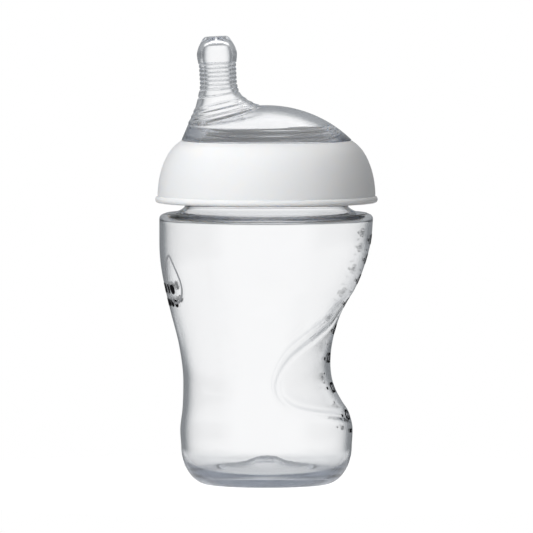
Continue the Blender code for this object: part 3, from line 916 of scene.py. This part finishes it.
def world():
    """White straight behind the bottle, and for the light that it bends, bright strips between grey ones."""
    scene = bpy.context.scene
    scene.world = bpy.data.worlds.new("studio")
    scene.world.use_nodes = True
    tree = scene.world.node_tree

    def node(kind, **values):
        made = tree.nodes.new(kind)
        for key, value in values.items():
            setattr(made, key, value)
        return made

    def calculate(operation, *values):
        made = node("ShaderNodeMath", operation=operation)
        for i, value in enumerate(values):
            if isinstance(value, (int, float)):
                made.inputs[i].default_value = value
            else:
                tree.links.new(value, made.inputs[i])
        return made.outputs[0]

    def spread(source, start, end, low, high):
        made = node("ShaderNodeMapRange", interpolation_type="SMOOTHSTEP")
        for key, value in (("From Min", start), ("From Max", end), ("To Min", low), ("To Max", high)):
            made.inputs[key].default_value = value
        tree.links.new(source, made.inputs["Value"])
        return made.outputs["Result"]

    def choose(which, otherwise, value):
        made = node("ShaderNodeMix", data_type="FLOAT")
        for i, source in ((0, which), (2, otherwise), (3, value)):
            if isinstance(source, (int, float)):
                made.inputs[i].default_value = source
            else:
                tree.links.new(source, made.inputs[i])
        return made.outputs[0]

    place = node("ShaderNodeTexCoord")
    split = node("ShaderNodeSeparateXYZ")
    tree.links.new(place.outputs["Generated"], split.inputs[0])
    x, y, z = split.outputs
    strips = calculate("COSINE", calculate("MULTIPLY", calculate("ARCTAN2", y, x), STRIPS))
    bent = spread(strips, -0.85, 0.9, BETWEEN_STRIPS, STRIP_LIGHT)
    bent = choose(spread(z, -0.08, -0.25, 0.0, 1.0), bent, BELOW)
    bent = choose(spread(z, 0.22, 0.36, 0.0, 1.0), bent, GAP)
    bent = choose(spread(z, 0.5, 0.65, 0.0, 1.0), bent, OVERHEAD)
    mirrored = spread(z, 0.0, 0.15, MIRRORED_BACK, MIRRORED_HIGHER)
    mirrored = choose(spread(y, -0.3, -0.8, 0.0, 1.0), mirrored, MIRRORED_FRONT)
    mirrored = choose(spread(z, -0.1, -0.22, 0.0, 1.0), mirrored, BELOW)
    mirrored = choose(spread(z, 0.45, 0.7, 0.0, 1.0), mirrored, OVERHEAD)
    path = node("ShaderNodeLightPath")
    light = choose(calculate("GREATER_THAN", path.outputs["Glossy Depth"], 0.5), bent, mirrored)
    plain = calculate("MAXIMUM", path.outputs["Is Diffuse Ray"], path.outputs["Is Camera Ray"])
    tint = node("ShaderNodeMix", data_type="RGBA", clamp_factor=True)
    tree.links.new(choose(plain, light, 1.0), tint.inputs["Factor"])
    for socket, colour in zip([s for s in tint.inputs if s.type == "RGBA"], (SHADE, (1, 1, 1))):
        socket.default_value = (*colour, 1)
    light = choose(path.outputs["Is Diffuse Ray"], light, AMBIENT)
    light = choose(path.outputs["Is Camera Ray"], light, 1.0)
    background = tree.nodes["Background"]
    tree.links.new(next(s for s in tint.outputs if s.type == "RGBA"), background.inputs["Color"])
    tree.links.new(light, background.inputs["Strength"])


def window():
    light = bpy.data.lights.new("window", "AREA")
    light.shape = "RECTANGLE"
    light.size, light.size_y = WINDOW_SIZE
    light.energy = WINDOW_POWER
    made = bpy.data.objects.new("window", light)
    made.location = WINDOW_PLACE
    made.rotation_euler = (TARGET - made.location).to_track_quat("-Z", "Y").to_euler()
    made.visible_glossy = False
    made.visible_transmission = False
    bpy.context.scene.collection.objects.link(made)


def studio():
    camera()
    floor()
    world()
    window()
    bpy.context.scene.view_settings.view_transform = "Standard"
    bounces = bpy.context.scene.cycles
    bounces.max_bounces = 32
    bounces.glossy_bounces = 24
    bounces.transmission_bounces = 24


def main():
    studio()
    fine = {
        "bottle": (bottle_mesh(), clear_polypropylene()),
        "screw_ring": (screw_ring_mesh(), white_polypropylene()),
        "teat": (teat_mesh(), clear_silicone()),
    }
    for node, (piece, finish) in fine.items():
        piece.data.materials.append(finish)
        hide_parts(node)
        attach(piece, node)

    black = ink("black_ink", (0.005, 0.005, 0.006), (0.012, 0.012, 0.013))
    grey = ink("grey_ink", (0.34, 0.35, 0.37), (0.42, 0.43, 0.45))
    prints = [
        (ounce_scale(), black, "black_print"),
        (millilitre_scale(), black, "black_print"),
        (mark_pattern(), black, "black_print"),
        (drop_mark(), grey, "grey_print"),
    ]
    for piece, finish, slot in prints:
        piece.data.materials.append(finish)
        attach(piece, "bottle")


main()
